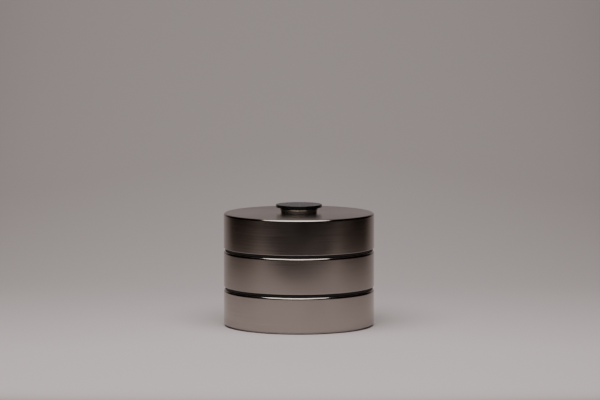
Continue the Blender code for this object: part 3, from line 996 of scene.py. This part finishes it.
rod_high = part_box("lifter_rod")[1]
ROD_RADIUS = 1.25
EYE_RADIUS = 3.1
eye_height = rod_high.z / MM - ROD_RADIUS - EYE_RADIUS
eye_turn = 280
eye_steps = 36
weld_overlap = 0.05
riveted_end = foot_bottom + 0.2
rod_path = [(0.0, 0.0, riveted_end), (0.0, 0.0, foot_top + 1.0), (0.0, 0.0, eye_height - 1.0)]
for step in range(eye_steps + 1):
    angle = math.radians(180 - eye_turn * step / eye_steps)
    rod_path.append(
        (EYE_RADIUS + EYE_RADIUS * math.cos(angle), 0.0, eye_height + EYE_RADIUS * math.sin(angle))
    )
rod = bend_wire("lifter_rod_bent", rod_path, ROD_RADIUS, 4)
finish_piece(rod, "lifter", "reel_wire", reel_wire, "lifter_rod", sharp=60)

fillet_outline = [
    (ROD_RADIUS - weld_overlap, foot_top - weld_overlap),
    (ROD_RADIUS + 1.1, foot_top - weld_overlap),
    (ROD_RADIUS + 0.45, foot_top + 0.35),
    (ROD_RADIUS - weld_overlap, foot_top + 1.0),
]
fillet = press_round("rod_foot_weld", fillet_outline, 32)
finish_piece(fillet, "lifter", "inner_steel", inner_steel, sharp=80)

# ----------------------------------------------------------------------------------------- reel
# The reel for one roll of film: two flat spirals of 1.2 mm wire, welded at every crossing to four
# U-shaped wires, which stand round a slotted sheet band with a spring clip for the film's end.

SPOKE_RADIUS = 1.0
SPOKE_BEND = 2.0
UPRIGHT_CIRCLE = 13.5
SPOKE_TIP = 38.6
SPIRAL_RADIUS = 0.6
SPIRAL_START = 15.8
PITCH = 2.33
spoke_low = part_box("frame_wire_1")[0].z / MM + SPOKE_RADIUS
spoke_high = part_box("frame_wire_1")[1].z / MM - SPOKE_RADIUS
weld_sink = 0.05
bend_steps = 8
spoke_count = 4
spoke_start = 45
profile = [(SPOKE_TIP, spoke_low)]
for step in range(bend_steps + 1):
    angle = math.radians(270 - 90 * step / bend_steps)
    profile.append(
        (
            UPRIGHT_CIRCLE + SPOKE_BEND + SPOKE_BEND * math.cos(angle),
            spoke_low + SPOKE_BEND + SPOKE_BEND * math.sin(angle),
        )
    )
for step in range(bend_steps + 1):
    angle = math.radians(180 - 90 * step / bend_steps)
    profile.append(
        (
            UPRIGHT_CIRCLE + SPOKE_BEND + SPOKE_BEND * math.cos(angle),
            spoke_high - SPOKE_BEND + SPOKE_BEND * math.sin(angle),
        )
    )
profile.append((SPOKE_TIP, spoke_high))
for number in range(spoke_count):
    angle = math.radians(spoke_start + 360 / spoke_count * number)
    path = [(radius * math.cos(angle), radius * math.sin(angle), height) for radius, height in profile]
    spoke = bend_wire(f"reel_spoke_{number + 1}", path, SPOKE_RADIUS, 3)
    finish_piece(spoke, "reel", "reel_wire", reel_wire, f"frame_wire_{number + 1}", sharp=60)

# Each spiral runs from one spoke to another, so both its ends are welded down.
first_turn = spoke_start / 360
last_turn = 9 + 225 / 360
steps_a_turn = 64
spiral_steps = round((last_turn - first_turn) * steps_a_turn)
crossing_count = round((last_turn - first_turn) * spoke_count) + 1
crossings = [first_turn + number / spoke_count for number in range(crossing_count)]
for node, height, weld_height in (
    ("bottom_spiral", spoke_low + SPOKE_RADIUS + SPIRAL_RADIUS - weld_sink, spoke_low + SPOKE_RADIUS),
    ("top_spiral", spoke_high - SPOKE_RADIUS - SPIRAL_RADIUS + weld_sink, spoke_high - SPOKE_RADIUS),
):
    path = []
    for step in range(spiral_steps + 1):
        turn = first_turn + (last_turn - first_turn) * step / spiral_steps
        radius = SPIRAL_START + PITCH * turn
        path.append((radius * math.cos(math.tau * turn), radius * math.sin(math.tau * turn), height))
    spiral = bend_wire(f"{node}_wound", path, SPIRAL_RADIUS, 2)
    finish_piece(spiral, "reel", "reel_wire", reel_wire, node, sharp=60)
    places = []
    for turn in crossings:
        radius = SPIRAL_START + PITCH * turn
        places.append(
            (radius * math.cos(math.tau * turn), radius * math.sin(math.tau * turn), weld_height)
        )
    welds = place_copies(weld_nugget(f"{node}_welds", radius=0.8, height=0.38), places)
    finish_piece(welds, "reel", "reel_wire", reel_wire, sharp=80)

band_low, band_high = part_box("core_band")
BAND_SHEET = 0.6
band_outer = UPRIGHT_CIRCLE - SPOKE_RADIUS + weld_sink
slot_half_angle = 26
bpy.ops.object.select_all(action="DESELECT")
bpy.ops.mesh.primitive_cylinder_add(
    vertices=90,
    radius=band_outer * MM,
    depth=band_high.z - band_low.z,
    end_fill_type="NOTHING",
    location=(0.0, 0.0, (band_low.z + band_high.z) / 2),
)
band = bpy.context.object
band.name = "core_band_rolled"
bpy.ops.object.transform_apply(location=True, rotation=True, scale=True)
bpy.ops.object.mode_set(mode="EDIT")
bpy.ops.mesh.select_mode(type="FACE")
bpy.ops.mesh.select_all(action="DESELECT")
shape = bmesh.from_edit_mesh(band.data)
for face in shape.faces:
    middle = face.calc_center_median()
    face.select_set(abs(math.degrees(math.atan2(middle.y, middle.x))) < slot_half_angle)
bmesh.update_edit_mesh(band.data)
bpy.ops.mesh.delete(type="FACE")
bpy.ops.object.mode_set(mode="OBJECT")
thicken = band.modifiers.new("sheet", "SOLIDIFY")
thicken.thickness = BAND_SHEET * MM
thicken.offset = -1.0
bpy.ops.object.modifier_apply(modifier=thicken.name)
soften_edges(band, 0.14, 2)
finish_piece(band, "reel", "inner_steel", inner_steel, "core_band", sharp=50)

band_weld_places = []
for number in range(spoke_count):
    angle = math.radians(spoke_start + 360 / spoke_count * number)
    for share in (0.12, 0.5, 0.88):
        height = (band_low.z + (band_high.z - band_low.z) * share) / MM
        band_weld_places.append((band_outer * math.cos(angle), band_outer * math.sin(angle), height))
band_welds = place_copies(weld_nugget("core_band_welds", radius=0.7, height=0.9), band_weld_places)
finish_piece(band_welds, "reel", "reel_wire", reel_wire, sharp=80)

# The clip is one strip of spring steel, bent so that the film's end is pushed in through a narrow nip.
CLIP_SHEET = 0.5
clip_low, clip_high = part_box("film_clip")
clip_half = [
    (10.9, 5.1),
    (10.6, 4.2),
    (9.4, 2.3),
    (8.2, 0.75),
    (6.8, 1.5),
    (5.2, 2.1),
    (3.9, 1.5),
    (3.4, 0.0),
]
clip_line = clip_half + [(across, -side) for across, side in reversed(clip_half[:-1])]
strip = bpy.data.curves.new("film_clip_sprung", "CURVE")
strip.dimensions = "3D"
strip.extrude = (clip_high.z - clip_low.z) / 2
route = strip.splines.new("BEZIER")
route.bezier_points.add(len(clip_line) - 1)
for point, (across, side) in zip(route.bezier_points, clip_line):
    point.co = (across * MM, side * MM, (clip_low.z + clip_high.z) / 2)
    point.handle_left_type = "AUTO"
    point.handle_right_type = "AUTO"
strip.resolution_u = 6
clip = bpy.data.objects.new("film_clip_sprung", strip)
bpy.context.collection.objects.link(clip)
bpy.ops.object.select_all(action="DESELECT")
clip.select_set(True)
bpy.context.view_layer.objects.active = clip
bpy.ops.object.convert(target="MESH")
clip = bpy.context.object
bpy.ops.object.mode_set(mode="EDIT")
bpy.ops.mesh.select_all(action="SELECT")
bpy.ops.mesh.remove_doubles(threshold=0.001 * MM)
bpy.ops.mesh.normals_make_consistent(inside=False)
bpy.ops.object.mode_set(mode="OBJECT")
thicken = clip.modifiers.new("sheet", "SOLIDIFY")
thicken.thickness = CLIP_SHEET * MM
thicken.offset = 0.0
bpy.ops.object.modifier_apply(modifier=thicken.name)
soften_edges(clip, 0.12, 2)
finish_piece(clip, "reel", "inner_steel", inner_steel, "film_clip", sharp=50)
